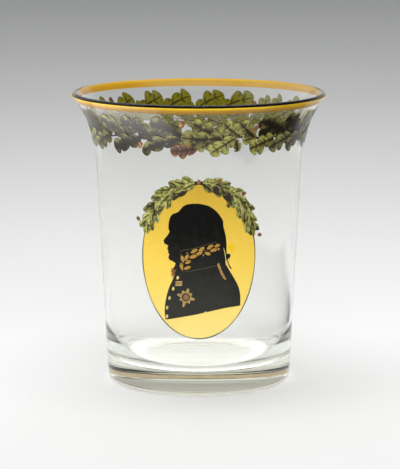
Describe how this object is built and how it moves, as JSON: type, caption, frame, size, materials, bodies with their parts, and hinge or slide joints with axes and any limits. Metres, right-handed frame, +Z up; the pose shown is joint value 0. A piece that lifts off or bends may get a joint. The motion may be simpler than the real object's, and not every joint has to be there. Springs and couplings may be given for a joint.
{
  "type": "drinking glass beaker",
  "caption": "Flared clear glass beaker with a yellow rim band, an oak-leaf garland and an oval medallion with a silhouette bust.",
  "frame": {"origin": "centre of the foot's underside, on the beaker's axis", "axes": "+Z up along the beaker's axis, -Y towards the viewer of the medallion"},
  "size_m": [0.0894, 0.0894, 0.102],
  "materials": {
    "clear_glass": "clear colourless glass, polished, very slightly grey",
    "band_stain": "transparent amber yellow stain fired into the glass",
    "oval_stain": "transparent lemon to golden yellow stain fired into the glass",
    "oak_green": "translucent yellow-green to olive enamel with dark veins, glossy",
    "withered_brown": "brown enamel with orange edges, glossy",
    "acorn_orange": "orange-brown enamel, glossy",
    "laurel_green": "pale yellow-green enamel with dark strokes, glossy",
    "black_enamel": "black enamel, glossy",
    "gilding": "fired gilding, burnished"
  },
  "bodies": {
    "root": {"acorn_01": "acorn_orange", "acorn_02": "acorn_orange", "acorn_04": "acorn_orange", "acorn_05": "acorn_orange", "acorn_06": "acorn_orange", "acorn_08": "acorn_orange", "acorn_09": "acorn_orange", "acorn_10": "acorn_orange", "acorn_12": "acorn_orange", "breast_star": "gilding", "brown_leaf_01": "withered_brown", "brown_leaf_05": "withered_brown", "brown_leaf_09": "withered_brown", "bust": "black_enamel", "button_1": "gilding", "button_2": "gilding", "button_3": "gilding", "button_4": "gilding", "button_5": "gilding", "collar_piping": "gilding", "collar_sprig": "gilding", "cravat_bow": "gilding", "lapel_clasp_1": "gilding", "lapel_clasp_2": "gilding", "medallion_ground": "oval_stain", "medallion_line": "black_enamel", "oak_spray_01": "oak_green", "oak_spray_02": "oak_green", "oak_spray_03": "oak_green", "oak_spray_04": "oak_green", "oak_spray_05": "oak_green", "oak_spray_06": "oak_green", "oak_spray_07": "oak_green", "oak_spray_08": "oak_green", "oak_spray_09": "oak_green", "oak_spray_10": "oak_green", "oak_spray_11": "oak_green", "oak_spray_12": "oak_green", "rim_band": "band_stain", "shoulder_braid": "gilding", "vessel": "clear_glass", "wreath_berry_1": "acorn_orange", "wreath_berry_2": "acorn_orange", "wreath_berry_3": "acorn_orange", "wreath_berry_4": "acorn_orange", "wreath_berry_5": "acorn_orange", "wreath_left": "laurel_green", "wreath_right": "laurel_green"}
  },
  "joints": []
}
